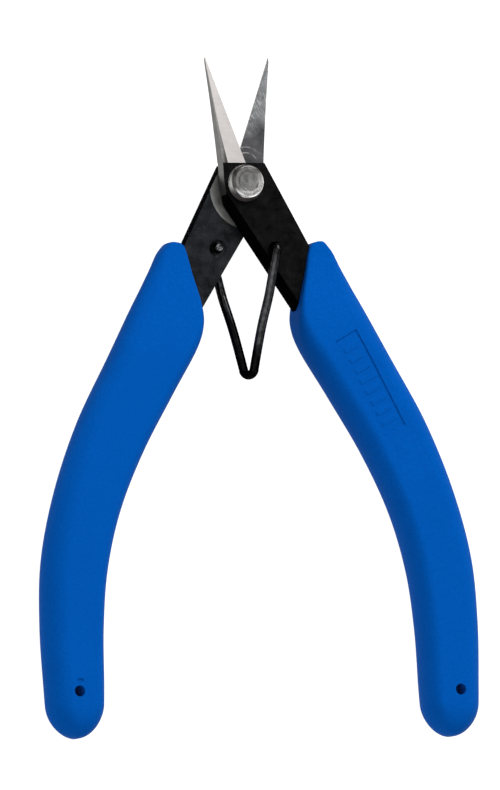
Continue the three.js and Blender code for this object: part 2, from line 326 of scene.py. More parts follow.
class Shader:
    """A material under construction, with its nodes and links."""

    def __init__(self, name, metallic, roughness, specular=0.5, tint=(1, 1, 1)):
        self.material = bpy.data.materials.new(name)
        self.material.use_nodes = True
        self.nodes = self.material.node_tree.nodes
        self.links = self.material.node_tree.links
        self.surface = self.nodes["Principled BSDF"]
        self.surface.inputs["Metallic"].default_value = metallic
        self.surface.inputs["Roughness"].default_value = roughness
        self.surface.inputs["Specular IOR Level"].default_value = specular
        self.surface.inputs["Specular Tint"].default_value = (*tint, 1.0)
        coordinates = self.nodes.new("ShaderNodeTexCoord")
        self.place = coordinates.outputs["Object"]

    def link(self, source, target):
        self.links.new(source, target)

    def mapped(self, scale=(1, 1, 1), turn=0.0, shift=(0, 0, 0)):
        """Object coordinates scaled, turned about z and shifted."""
        node = self.nodes.new("ShaderNodeMapping")
        node.inputs["Scale"].default_value = scale
        node.inputs["Rotation"].default_value = (0, 0, turn)
        node.inputs["Location"].default_value = shift
        self.link(self.place, node.inputs["Vector"])
        return node.outputs["Vector"]

    def noise(self, scale, detail, roughness=0.5, vector=None):
        node = self.nodes.new("ShaderNodeTexNoise")
        node.inputs["Scale"].default_value = scale
        node.inputs["Detail"].default_value = detail
        node.inputs["Roughness"].default_value = roughness
        self.link(vector or self.place, node.inputs["Vector"])
        return node.outputs["Fac"]

    def span(self, source, low, high, out_low=0.0, out_high=1.0):
        """Maps low..high of the source to out_low..out_high, held at the ends."""
        node = self.nodes.new("ShaderNodeMapRange")
        node.inputs["From Min"].default_value = low
        node.inputs["From Max"].default_value = high
        node.inputs["To Min"].default_value = out_low
        node.inputs["To Max"].default_value = out_high
        self.link(source, node.inputs["Value"])
        return node.outputs["Result"]

    def math(self, operation, first, second=None):
        """The result of an operation on numbers or sockets."""
        node = self.nodes.new("ShaderNodeMath")
        node.operation = operation
        for socket, value in zip(node.inputs, (first, second)):
            if value is None:
                continue
            if isinstance(value, (int, float)):
                socket.default_value = value
            else:
                self.link(value, socket)
        return node.outputs["Value"]

    def blend(self, factor, low, high):
        """A colour between two colours, each a tuple or a socket."""
        node = self.nodes.new("ShaderNodeMix")
        node.data_type = "RGBA"
        sockets = [socket for socket in node.inputs if socket.type == "RGBA"]
        for socket, value in zip(sockets, (low, high)):
            if isinstance(value, tuple):
                socket.default_value = (*value, 1.0)
            else:
                self.link(value, socket)
        self.link(factor, node.inputs["Factor"])
        return next(socket for socket in node.outputs if socket.type == "RGBA")

    def place_parts(self, shift=(0, 0, 0)):
        """The x and y of the place, in metres from the rivet's axis less a shift."""
        split = self.nodes.new("ShaderNodeSeparateXYZ")
        away = Vector(shift) * MM + PIVOT
        self.link(self.mapped(shift=tuple(-away)), split.inputs["Vector"])
        return split.outputs["X"], split.outputs["Y"]

    def average(self, first, second, share=0.5):
        """share of the first and the rest of the second."""
        part = self.math("MULTIPLY", first, share)
        return self.math("ADD", part, self.math("MULTIPLY", second, 1 - share))

    def length(self, x, y):
        squares = self.math("ADD", self.math("MULTIPLY", x, x), self.math("MULTIPLY", y, y))
        return self.math("SQRT", squares)

    def mirrored_distance(self, across, up, centre):
        """The distance from a point and its mirror image across x = 0, and the rise above them."""
        off = self.math("SUBTRACT", self.math("ABSOLUTE", across), centre.x * MM)
        rise = self.math("SUBTRACT", up, centre.y * MM)
        return self.length(off, rise), rise

    def line(self, off, half, end, strength=1.0):
        """strength where off is within half of 0, fading out by end."""
        return self.span(self.math("ABSOLUTE", off), half, end, strength, 0.0)

    def steepness(self, low, high, least):
        """least where the surface stands upright, and 1 where it lies flat."""
        geometry = self.nodes.new("ShaderNodeNewGeometry")
        split = self.nodes.new("ShaderNodeSeparateXYZ")
        self.link(geometry.outputs["Normal"], split.inputs["Vector"])
        return self.span(self.math("ABSOLUTE", split.outputs["Z"]), low, high, least, 1.0)

    def colour(self, source):
        """Sets the base colour to a tuple or a socket."""
        if isinstance(source, tuple):
            self.surface.inputs["Base Color"].default_value = (*source, 1.0)
        else:
            self.link(source, self.surface.inputs["Base Color"])

    def roughness(self, source):
        self.link(source, self.surface.inputs["Roughness"])

    def bump(self, height, distance, strength):
        """Raises the surface by height; calls after the first add to it."""
        node = self.nodes.new("ShaderNodeBump")
        node.inputs["Distance"].default_value = distance
        node.inputs["Strength"].default_value = strength
        self.link(height, node.inputs["Height"])
        normal = self.surface.inputs["Normal"]
        if normal.is_linked:
            self.link(normal.links[0].from_socket, node.inputs["Normal"])
        self.link(node.outputs["Normal"], normal)


# ---- materials ----


def oxide(name, dark, light, roughness):
    """Black oxide on stamped steel: cloudy, with fine lighter specks."""
    shader = Shader(name, metallic=1.0, roughness=roughness, tint=(0.25, 0.25, 0.26))
    cloud = shader.noise(420, detail=6, roughness=0.65)
    speck = shader.noise(4200, detail=3)
    base = shader.blend(shader.span(cloud, 0.3, 0.7), dark, light)
    speckle = tuple(1.9 * channel for channel in light)
    shader.colour(shader.blend(shader.span(speck, 0.62, 0.78), base, speckle))
    shader.roughness(shader.span(cloud, 0.2, 0.8, roughness - 0.07, roughness + 0.12))
    shader.bump(shader.noise(1500, detail=5, roughness=0.7), 0.00003, 0.6)
    return shader.material


def worn_edge():
    """Edges where the oxide has rubbed through in places."""
    shader = Shader("worn_edge", metallic=1.0, roughness=0.4, tint=(0.4, 0.4, 0.4))
    wear_and_painted_light = shader.span(shader.noise(700, detail=4, roughness=0.6), 0.42, 0.7)
    shader.colour(shader.blend(wear_and_painted_light, (0.018, 0.018, 0.019), (0.16, 0.157, 0.152)))
    shader.bump(shader.noise(1500, detail=3), 0.00002, 0.5)
    return shader.material


def ground_steel(name, dark, light, turn, roughness, heel_painted_shade=None):
    """Bare steel with straight grinding marks at an angle to x and, where given, painted shade over the
    heel.
    """
    shader = Shader(name, metallic=1.0, roughness=roughness)
    lay = shader.mapped(scale=(160, 2600, 160), turn=turn)
    marks = shader.noise(1.0, detail=4, roughness=0.7, vector=lay)
    cloud = shader.noise(260, detail=4, roughness=0.6)
    tone = shader.average(marks, cloud, 0.55)
    base = shader.blend(shader.span(tone, 0.3, 0.7), dark, light)
    if heel_painted_shade:
        # painted shade over the heel: full below 5 mm above the rivet, gone by 10 mm, within about 4.5
        # mm of its axis
        across, up = shader.place_parts()
        beside_bevel = shader.line(across, 0.0045, 0.005)
        painted_shade_at_heel = shader.math("MULTIPLY", shader.span(up, 0.005, 0.01, 1.0, 0.0), beside_bevel)
        base = shader.blend(painted_shade_at_heel, base, heel_painted_shade)
    shader.colour(base)
    shader.roughness(shader.span(marks, 0.3, 0.7, roughness - 0.06, roughness + 0.1))
    shader.bump(marks, 0.00003, 0.4)
    return shader.material


def spine_steel():
    """The ground side of the blade, which goes over into black oxide beside the rivet."""
    shader = Shader("spine_steel", metallic=1.0, roughness=0.38)
    cloud = shader.noise(380, detail=4, roughness=0.6)
    bare = shader.blend(shader.span(cloud, 0.3, 0.7), (0.07, 0.07, 0.066), (0.15, 0.147, 0.141))
    bared = shader.span(shader.place_parts()[1], -0.0002, 0.0018)
    shader.colour(shader.blend(bared, (0.012, 0.012, 0.013), bare))
    shader.roughness(shader.span(cloud, 0.3, 0.7, 0.32, 0.46))
    shader.bump(cloud, 0.00003, 0.5)
    return shader.material


def heel_arcs(shader, across, up):
    """How bright the two broken arcs round the heel of the cutting edge are, 0 to 1."""
    reach, rise = shader.mirrored_distance(across, up, HEEL_SCRATCH)
    off = shader.math("SUBTRACT", reach, HEEL_SCRATCH_RADIUS * MM)
    ring = shader.line(off, 0.00003, 0.00015)
    arc = shader.math("MULTIPLY", ring, shader.span(rise, 0.0012, 0.002))
    outer_off = shader.math("SUBTRACT", off, OUTER_SCRATCH_STEP * MM)
    outer_ring = shader.line(outer_off, 0.00004, 0.0002, 0.5)
    outer_arc = shader.math("MULTIPLY", outer_ring, shader.span(rise, 0.003, 0.0034))
    broken = shader.span(shader.noise(620, detail=3), 0.38, 0.56, 0.1, 1.0)
    return shader.math("MULTIPLY", shader.math("MAXIMUM", arc, outer_arc), broken)


def inner_face_steel():
    """Bare inner face: curved scratches, and bright arcs worn by the other blade's heel."""
    shader = Shader("inner_face_steel", metallic=1.0, roughness=0.4)
    x, y = shader.place_parts(SCRATCH_CENTRE)
    polar = shader.nodes.new("ShaderNodeCombineXYZ")
    shader.link(shader.math("MULTIPLY", shader.length(x, y), 3600.0), polar.inputs["X"])
    shader.link(shader.math("MULTIPLY", shader.math("ARCTAN2", y, x), 12.0), polar.inputs["Y"])
    marks = shader.noise(1.0, detail=5, roughness=0.75, vector=polar.outputs["Vector"])
    across, up = shader.place_parts()
    cloud = shader.noise(170, detail=5, roughness=0.6)
    from_middle = shader.math("ABSOLUTE", across)
    ragged = shader.math("ADD", up, shader.math("MULTIPLY", cloud, 0.004))
    ragged = shader.math("SUBTRACT", ragged, shader.math("MULTIPLY", from_middle, 0.35))
    blade_part = shader.span(ragged, 0.0107, 0.0141)
    patches = shader.span(shader.noise(330, detail=3), 0.38, 0.56)
    patches = shader.math("MULTIPLY", patches, shader.span(blade_part, 0, 1, 0.25, 1.0))
    scratch = shader.math("MULTIPLY", shader.span(marks, 0.5, 0.66), patches)
    cloudy = shader.span(cloud, 0.32, 0.68)
    blade = shader.blend(cloudy, (0.13, 0.136, 0.142), (0.26, 0.265, 0.272))
    heel = shader.blend(cloudy, (0.042, 0.042, 0.045), (0.1, 0.1, 0.104))
    relief = shader.blend(cloudy, (0.13, 0.13, 0.127), (0.31, 0.31, 0.30))
    base = shader.blend(shader.span(up, 0.001, 0.0035), relief, heel)
    base = shader.blend(blade_part, base, blade)
    arcs = heel_arcs(shader, across, up)
    wear_and_painted_lit_tone = shader.blend(scratch, base, (0.52, 0.52, 0.52))
    shader.colour(shader.blend(arcs, wear_and_painted_lit_tone, (0.46, 0.455, 0.445)))
    shader.roughness(shader.span(marks, 0.3, 0.7, 0.34, 0.5))
    shader.bump(marks, 0.00003, 0.4)
    return shader.material


def rivet_steel():
    """Upset rivet head: a dull dish, painted highlight on the rim's lower right side and painted shade
    on its upper left, a wall painted bright above and shaded brown below, and a painted dark ring at the
    dish's edge.
    """
    shader = Shader("rivet_steel", metallic=1.0, roughness=0.28)
    pits = shader.noise(900, detail=4, roughness=0.6)
    cloud = shader.noise(420, detail=3)
    tone = shader.span(shader.average(pits, cloud), 0.3, 0.7)
    across, up = shader.place_parts((*(HEAD_SHIFT + HEAD_LEAN), 0))
    radius = shader.length(across, up)
    # painted light: brighter towards the lower right, darker towards the upper left
    to_right = shader.math("MULTIPLY", across, 0.52)
    side = shader.math("SUBTRACT", to_right, shader.math("MULTIPLY", up, 0.86))
    wear_and_painted_light = shader.span(side, -0.0005, 0.0019)
    dish = shader.blend(tone, (0.23, 0.23, 0.226), (0.37, 0.367, 0.355))
    # lit and shaded copies of the face, edge and wall: painted highlight and painted shade
    shaded_face = shader.blend(tone, (0.27, 0.266, 0.26), (0.34, 0.335, 0.327))
    lit_face = shader.blend(tone, (0.54, 0.535, 0.52), (0.64, 0.635, 0.62))
    shaded_edge = shader.blend(tone, (0.04, 0.039, 0.038), (0.085, 0.083, 0.08))
    highlit_edge = shader.blend(tone, (0.78, 0.77, 0.75), (0.95, 0.94, 0.92))
    shaded_brown_wall = shader.blend(tone, (0.13, 0.108, 0.1), (0.25, 0.215, 0.2))
    highlit_wall = shader.blend(tone, (0.42, 0.415, 0.405), (0.6, 0.595, 0.58))
    face = shader.blend(wear_and_painted_light, shaded_face, lit_face)
    edge = shader.blend(wear_and_painted_light, shaded_edge, highlit_edge)
    wall = shader.blend(shader.span(up, -0.0026, -0.0008), shaded_brown_wall, highlit_wall)
    base = shader.blend(shader.span(radius, DISH_RADIUS * MM, (DISH_RADIUS + 0.25) * MM), dish, face)
    base = shader.blend(shader.span(radius, 0.0028, 0.003), base, edge)
    on_wall = shader.span(radius, HEAD_TOP_RADIUS * MM, (HEAD_TOP_RADIUS + 0.05) * MM)
    base = shader.blend(on_wall, base, wall)
    # painted shade: a broken dark ring at the dish's edge
    ring = shader.line(shader.math("SUBTRACT", radius, DISH_RADIUS * MM), 0.00008, 0.00022)
    painted_dish_shade_ring = shader.math("MULTIPLY", ring, shader.span(shader.noise(260, detail=2), 0.42, 0.58))
    shader.colour(shader.blend(painted_dish_shade_ring, base, (0.11, 0.11, 0.105)))
    rough = shader.span(pits, 0.3, 0.7, 0.22, 0.34)
    shader.roughness(shader.math("ADD", rough, shader.math("MULTIPLY", on_wall, 0.24)))
    shader.bump(pits, 0.000016, 0.5)
    return shader.material


def matte_black():
    """The rough hollow round the wire's end: painted shadow, near black within a ragged circle towards
    its outer side and dark grey beyond.
    """
    shader = Shader("matte_black", metallic=0.0, roughness=0.8, specular=0.0)
    hollow_mottle = shader.noise(1300, detail=4)
    # painted shadow: near black inside a ragged circle centred a little outward of the spring hole, dark
    # grey outside it
    reach = shader.mirrored_distance(*shader.place_parts(), HOLLOW_SHADOW_CENTRE)[0]
    ragged = shader.math("MULTIPLY", shader.noise(800, detail=3), 0.0018)
    past_painted_shadow = shader.span(shader.math("ADD", reach, ragged), 0.0019, 0.0026)
    black = shader.blend(shader.span(hollow_mottle, 0.4, 0.7), (0.0006, 0.0006, 0.0007), (0.004, 0.004, 0.004))
    grey = shader.blend(shader.span(hollow_mottle, 0.35, 0.65), (0.004, 0.0045, 0.005), (0.022, 0.024, 0.026))
    shader.colour(shader.blend(past_painted_shadow, black, grey))
    shader.bump(hollow_mottle, 0.00008, 0.6)
    return shader.material


def spring_wire():
    """Blackened wire, painted lighter along its legs and painted dark at its bend and near its elbows.
    """
    shader = Shader("spring_wire", metallic=1.0, roughness=0.2, tint=(0.3, 0.3, 0.3))
    drawn = shader.noise(900, detail=3)
    tone = shader.span(drawn, 0.35, 0.7)
    across, up = shader.place_parts()
    # painted light on the legs, painted shade at the bend (reaching higher on the left leg) and near the
    # elbows
    from_bend = shader.math("ADD", up, shader.math("MULTIPLY", across, 2.2))
    black = shader.blend(tone, (0.0015, 0.0015, 0.0016), (0.006, 0.006, 0.0064))
    wear_and_painted_lit_tone = shader.blend(tone, (0.028, 0.028, 0.029), (0.08, 0.081, 0.084))
    below_elbow = shader.span(up, -0.017, -0.0145, 1.0, 0.3)
    painted_light_share = shader.math("MULTIPLY", shader.span(from_bend, -0.034, -0.028), below_elbow)
    shader.colour(shader.blend(painted_light_share, black, wear_and_painted_lit_tone))
    shader.roughness(shader.span(drawn, 0.3, 0.7, 0.15, 0.27))
    shader.bump(shader.noise(2400, detail=3), 0.00001, 0.5)
    return shader.material


def sheared_wire():
    """The torn end of the wire."""
    shader = Shader("sheared_wire", metallic=1.0, roughness=0.4)
    torn = shader.noise(1800, detail=4)
    shader.colour(shader.blend(shader.span(torn, 0.35, 0.65), (0.01, 0.01, 0.01), (0.11, 0.115, 0.12)))
    shader.bump(torn, 0.0002, 0.8)
    return shader.material


def blue_rubber():
    """Satin moulded rubber with a fine grain, with painted shade on its steep walls that eases towards
    the lower ends.
    """
    tint = (0.02, 0.35, 1.0)
    shader = Shader("blue_rubber", metallic=0.0, roughness=0.58, specular=0.015, tint=tint)
    cloud = shader.noise(55, detail=4, roughness=0.6)
    grain = shader.noise(2100, detail=3, roughness=0.6)
    mottle = shader.span(cloud, 0.3, 0.7)
    base = shader.blend(mottle, (0.0004, 0.067, 0.315), (0.0005, 0.076, 0.356))
    grained = shader.blend(shader.span(grain, 0.3, 0.75), base, (0.0004, 0.058, 0.28))
    # painted shade: steep walls darkened, less so towards the grips' lower ends
    lower_half = shader.span(shader.place_parts()[1], -0.075, -0.035, 0.35, 0.0)
    painted_wall_light = shader.math("ADD", shader.steepness(0.15, 0.75, 0.65), lower_half)
    shader.colour(shader.blend(painted_wall_light, (0.0, 0.030, 0.15), grained))
    shader.roughness(shader.span(grain, 0.3, 0.7, 0.52, 0.66))
    shader.bump(shader.noise(260, detail=2), 0.00008, 0.35)
    shader.bump(grain, 0.00004, 0.6)
    return shader.material


def pale_floor():
    shader = Shader("pale_floor", metallic=0.0, roughness=0.9, specular=0.0)
    shader.colour((0.2, 0.2, 0.2))
    shader.surface.inputs["Emission Color"].default_value = (1, 1, 1, 1)
    shader.surface.inputs["Emission Strength"].default_value = FLOOR_GLOW
    return shader.material


# ---- stamped plates ----

TANG_CENTRE = [
    Vector(point)
    for point in (
        (17.7, -30.2), (22.4, -38), (29.3, -50), (35, -62), (38.8, -74), (40.8, -86), (41.3, -101),
    )
]
TANG_STEPS = 24
PLATE_BACK = [
    Vector(point)
    for point in ((-7.2, 25.3), (-6.25, 16.7), (-5.45, 8), (-5.15, 4), (-5.0, 0), (-4.3, -4.6))
]


def tang_edge(side):
    """One edge of the tang: side is -1 for the inner edge and +1 for the outer one."""
    edge = []
    for step in range(TANG_STEPS + 1):
        along = step / TANG_STEPS
        centre = catmull(TANG_CENTRE, along)
        heading = (catmull(TANG_CENTRE, along + 0.01) - catmull(TANG_CENTRE, along - 0.01)).normalized()
        half = mix(*TANG_HALF_WIDTHS, min(1.0, along * 6))
        edge.append((centre.x - side * heading.y * half, centre.y + side * heading.x * half))
    return edge


def plate_outline():
    """Round the plate from its edge's heel: edge, tip, back, tang and outer side of the arm."""
    tip = [(-6.94, 26.08), (-7.04, 26.2), (-7.15, 26.06)]
    back = [tuple(catmull(PLATE_BACK, step / 60)) for step in range(60)]
    return (
        [tuple(EDGE_HEEL), tuple(EDGE_TIP)]
        + tip
        + back
        + [tuple(ARM_INNER_TOP)]
        + tang_edge(-1)
        + [TANG_END]
        + tang_edge(1)[::-1]
        + [tuple(ARM_OUTER_TOP)]
    )


def cut_blade_facets(plate):
    """Grinds the blade's bevel, the taper of its back and the run-out beside the spine."""
    slope = (EDGE_HEEL.x - EDGE_TIP.x) / (EDGE_TIP.y - EDGE_HEEL.y)
    edge = (EDGE_HEEL.x, EDGE_HEEL.y, PLATE_LOW + EDGE_LAND)
    facet = beyond_plane("facet", edge, (FACET_RISE, FACET_RISE * slope, 1))
    taper = beyond_plane("taper", (0, SHOULDER_Y, PLATE_HIGH), (0, TAPER_RISE, 1))
    run_out = beyond_plane("run_out", RUN_OUT_START, RUN_OUT_NORMAL)
    for cutter in (facet, taper, run_out):
        blade_side = beyond_plane("blade_side", (0, SHOULDER_Y, 0), (0, 1, 0))
        boolean(cutter, blade_side, "INTERSECT")
        boolean(plate, cutter, "DIFFERENCE")


def cut_arm_chamfer(plate):
    """Breaks the arm's inner edge, from the rivet down into the grip."""
    corner = (ARM_INNER_TOP.x, ARM_INNER_TOP.y, PLATE_HIGH - ARM_EDGE_CHAMFER)
    chamfer = beyond_plane("chamfer", corner, (ARM_INNER_HEADING.y, -ARM_INNER_HEADING.x, 1))
    boolean(chamfer, beyond_plane("arm_part", (0, CHAMFER_END_Y, 0), (0, 1, 0)), "INTERSECT")
    boolean(plate, chamfer, "DIFFERENCE")


def cut_holes(plate):
    """Cuts the shallow round relief, the rivet's hole, and the spring's with its dimple."""
    relief = prism("relief", disc(RELIEF_CENTRE, RELIEF_RADIUS, 128), 0, PLATE_LOW + RELIEF_DEPTH)
    boolean(relief, beyond_plane("blade_part", (0, RELIEF_END_Y, 0), (0, 1, 0)), "DIFFERENCE")
    boolean(plate, relief, "DIFFERENCE")
    boolean(plate, prism("pivot_hole", disc((0, 0), PIVOT_HOLE_RADIUS), -1, 5), "DIFFERENCE")
    boolean(plate, prism("spring_hole", disc(SPRING_HOLE, SPRING_HOLE_RADIUS), -1, 5), "DIFFERENCE")
    wide = disc(DIMPLE_CENTRE, DIMPLE_RADIUS + 0.1)
    narrow = disc(DIMPLE_CENTRE, DIMPLE_RADIUS - 0.3)
    dimple = tapered("dimple", wide, narrow, -0.1, DIMPLE_DEPTH)
    boolean(plate, dimple, "DIFFERENCE")


# the places of a plate's materials in the list of finishes near the end
BLACK, BEVEL, TAPER, INNER_BARE, SPINE, WORN, INNER_BLACK, HOLLOW, CHAMFER = range(9)


def finish_of(centre, normal):
    """Which finish a face of the plate has."""
    if (centre.xy - DIMPLE_CENTRE).length < DIMPLE_RADIUS and centre.z < PLATE_MIDDLE:
        return HOLLOW
    if centre.y > SHOULDER_Y + 0.02:
        if normal.z < -0.5:
            return INNER_BARE
        if normal.x > 0.25:
            return BEVEL
        return TAPER if normal.z > 0.5 else SPINE
    if normal.z < -0.5:
        in_relief = (centre.xy - RELIEF_CENTRE).length < RELIEF_RADIUS + 0.05
        return INNER_BARE if in_relief else INNER_BLACK
    if normal.x < -0.5 and centre.x < -4.2 and centre.y > SPINE_END_Y:
        return SPINE
    # the chamfer's darker oxide is painted shade
    if normal.x < -0.3 and 0.4 < normal.z < 0.9:
        return CHAMFER
    return BLACK


def make_plate(name, turned, finishes):
    """One stamping, with its finishes and its worn edges."""
    plate = prism(name, plate_outline(), PLATE_LOW, PLATE_HIGH)
    cut_blade_facets(plate)
    cut_arm_chamfer(plate)
    cut_holes(plate)
    plate.data.materials.clear()
    for finish in finishes:
        plate.data.materials.append(finish)
    for face in plate.data.polygons:
        face.material_index = finish_of(face.center, face.normal)
    bevel = plate.modifiers.new("worn_edges", "BEVEL")
    bevel.limit_method = "ANGLE"
    bevel.angle_limit = math.radians(16)
    bevel.width = PLATE_EDGE_WEAR
    bevel.segments = 2
    bevel.material = WORN
    apply_modifiers(plate)
    for face in plate.data.polygons:
        if face.material_index == WORN and face.center.y > SHOULDER_Y - 0.1:
            from_relief = abs((face.center.xy - RELIEF_CENTRE).length - RELIEF_RADIUS)
            at_relief = face.center.z < PLATE_LOW + RELIEF_DEPTH + 0.02 and from_relief < 0.12
            face.material_index = BEVEL if at_relief else finish_of(face.center, face.normal)
    shade(plate, 28)
    place(plate, turned)
    return plate


# ---- rivet ----


def rounding(centre, radii, start, end, steps=9):
    """Points of a rounded corner, from the start angle to the end angle in degrees."""
    turns = [math.radians(mix(start, end, step / (steps - 1))) for step in range(steps)]
    return [
        (centre[0] + radii[0] * math.cos(turn), centre[1] + radii[1] * math.sin(turn)) for turn in turns
    ]


def turned_solid(name, profile, axis=(0.0, 0.0)):
    """A profile of (radius, z) that starts and ends on the axis, turned about it."""
    sides = 96
    points = []
    faces = []
    rings = []
    for radius, z in profile:
        first = len(points)
        if radius == 0:
            points.append((*axis, z))
        else:
            points += [(x, y, z) for x, y in disc(axis, radius, sides)]
        rings.append(list(range(first, len(points))))
    for ring, after in zip(rings, rings[1:]):
        for k in range(sides):
            corners = [ring[k % len(ring)], ring[(k + 1) % len(ring)]]
            corners += [after[(k + 1) % len(after)], after[k % len(after)]]
            # a ring that is one point on the axis gives a triangle
            faces.append(list(dict.fromkeys(corners)))
    piece = mesh_object(name, points, faces)
    outward(piece)
    return piece


def make_rivet(finish):
    """Shank with a low rear head, and a formed front head with a dished centre."""
    low = -HEAD_LOW
    wall = 0.5
    inside = HEAD_LOW + wall
    shank = [(0, inside), (SHANK_RADIUS, inside), (SHANK_RADIUS, low)]
    shank += [(BACK_HEAD_RADIUS - 0.12, low), (BACK_HEAD_RADIUS, low - 0.12)]
    shank.append((BACK_HEAD_RADIUS, low - wall))
    round_radii = (BACK_HEAD_RADIUS - BACK_HEAD_FLAT_RADIUS, BACK_HEAD_HEIGHT - wall)
    shank += rounding((BACK_HEAD_FLAT_RADIUS, low - wall), round_radii, -15, -90, 7)
    shank.append((0, low - BACK_HEAD_HEIGHT))
    dish = HEAD_TOP - 0.05
    head = [(0, dish), (DISH_RADIUS - 0.25, dish), (DISH_RADIUS - 0.1, dish + 0.02)]
    head += [(DISH_RADIUS + 0.05, HEAD_TOP - 0.02), (DISH_RADIUS + 0.15, HEAD_TOP)]
    round_radii = (HEAD_TOP_RADIUS - HEAD_FLAT_RADIUS, HEAD_EDGE_DROP)
    head += rounding((HEAD_FLAT_RADIUS, HEAD_TOP - HEAD_EDGE_DROP), round_radii, 90, 0)
    head += [(HEAD_RADIUS - 0.04, HEAD_LOW + 0.3), (HEAD_RADIUS, HEAD_LOW + 0.1)]
    head += [(HEAD_RADIUS - 0.1, HEAD_LOW), (0, HEAD_LOW)]
    rivet = turned_solid("pivot_rivet_turned", shank)
    formed_head = turned_solid("formed_head", head, tuple(HEAD_SHIFT))
    for vertex in formed_head.data.vertices:
        lean = HEAD_LEAN * (vertex.co.z - HEAD_LOW) / (HEAD_TOP - HEAD_LOW)
        vertex.co.xy += lean
    boolean(rivet, formed_head, "UNION")
    rivet.data.materials.clear()
    rivet.data.materials.append(finish)
    shade(rivet, 40)
    place(rivet)
    return rivet


# ---- return spring ----


def leg_route():
    """Centre line of the front leg, from its end in the hole to the bottom of the bend."""
    heading = (LEG_LEVEL_END - SPRING_HOLE).normalized()
    route = [Vector((*(SPRING_HOLE + WIRE_END_SHIFT), 0.25)), Vector((*SPRING_HOLE, 1.6))]
    for step in range(7):
        angle = math.radians(step * 15)
        out = ELBOW_RADIUS * (1 - math.cos(angle))
        height = WIRE_LEVEL + ELBOW_RISE - ELBOW_RADIUS * (1 - math.sin(angle))
        route.append(Vector((*(SPRING_HOLE + heading * out), height)))
    bend_radius = APEX_BEND.length
    bend_top = Vector((APEX_BEND.x, APEX_Y + bend_radius, APEX_BEND.y))
    level = Vector((*LEG_LEVEL_END, WIRE_LEVEL))
    route.append(route[-1].lerp(level, 0.5))
    route.append(level)
    route.append(level.lerp(bend_top, 0.12))
    route.append(level.lerp(bend_top, 0.5) - Vector((LEG_BOW, 0, 0)))
    for step in range(6):
        angle = math.radians(step * 15)
        sweep = math.cos(angle)
        drop = bend_radius * math.sin(angle)
        route.append(Vector((APEX_BEND.x * sweep, bend_top.y - drop, APEX_BEND.y * sweep)))
    return route


def wire_rings(line):
    """Circles of points square to a line, a little smaller at its two ends."""
    sides = 24
    rings = []
    across = Vector((1, 0, 0))
    for index, centre in enumerate(line):
        heading = (line[min(index + 1, len(line) - 1)] - line[max(index - 1, 0)]).normalized()
        across = (across - heading * across.dot(heading)).normalized()
        up = heading.cross(across)
        end_distance = min((centre - line[0]).length, (centre - line[-1]).length)
        radius = WIRE_RADIUS * mix(0.8, 1.0, smooth(0.0, 0.3, end_distance))
        angles = [2 * math.pi * k / sides for k in range(sides)]
        rings.append(
            [centre + (across * math.cos(angle) + up * math.sin(angle)) * radius for angle in angles]
        )
    return rings


def make_spring(finish, torn):
    """The whole wire, whose rear leg is the front one turned half a turn."""
    front = leg_route()
    bottom = Vector((0, APEX_Y, 0))
    rear = [Vector((-point.x, point.y, -point.z)) for point in reversed(front)]
    control = front + [bottom] + rear
    steps = 12 * (len(control) - 1)
    line = [catmull(control, step / steps) for step in range(steps + 1)]
    spring = skin("return_spring", wire_rings(line))
    spring.data.materials.append(finish)
    spring.data.materials.append(torn)
    for cap in (0, -1):
        spring.data.polygons[cap].material_index = 1
    shade(spring, 50)
    place(spring)
    return spring


# ---- moulded grips ----

GRIP_INNER = [
    Vector(point)
    for point in (
        (14.6, -12.2), (13.2, -13.6), (11.9, -19.2), (10.5, -24.9), (9.98, -29.6), (11.5, -34.8),
        (17.1, -44), (24.2, -56), (29.7, -68), (33, -80), (34.4, -92), (34.8, -104), (35.1, -109.8),
        (35.3, GRIP_END_Y),
    )
]
GRIP_OUTER = [
    Vector(point)
    for point in (
        (16.6, -12.1), (18.6, -14.3), (20.2, -17.3), (21.7, -20), (23.1, -22.5), (25.4, -26.6),
        (30.3, -35.8), (37.6, -49.2), (43.2, -63.4), (46.7, -77.6), (47.56, -91.3), (47.2, -104.2),
        (46.9, -110), (46.6, GRIP_END_Y),
    )
]
PANEL_ROWS = (0.36, 0.57)


def grip_half_thickness(y):
    """Thin at the mouth, full along the hand and thinned again towards the end."""
    body = mix(MOUTH_HALF_THICKNESS, GRIP_HALF_THICKNESS, smooth(11, 38, -y))
    to_end = min(1.0, max(0.0, (y - GRIP_END_Y) / GRIP_END_THINNING))
    return body * mix(GRIP_END_LEAST, 1.0, math.sqrt(to_end * (2 - to_end)))


def grip_rows():
    """Places of the cross-sections from mouth to end, close together at the panel and the ends."""
    first, last = PANEL_ROWS
    rows = [MOUTH_SHARE * (step / 24) ** 1.5 for step in range(24)]
    rows += [mix(MOUTH_SHARE, first, step / 60) for step in range(60)]
    rows += [mix(first, last, step / 230) for step in range(230)]
    rows += [mix(last, 0.93, step / 50) for step in range(50)]
    rows += [mix(0.93, 1.0, 1 - (1 - step / 40) ** 1.8) for step in range(41)]
    return rows


def within(value, low, high, soft):
    """1 between low and high, with soft ends that lie inside."""
    return smooth(low, low + soft, value) * (1 - smooth(high - soft, high, value))


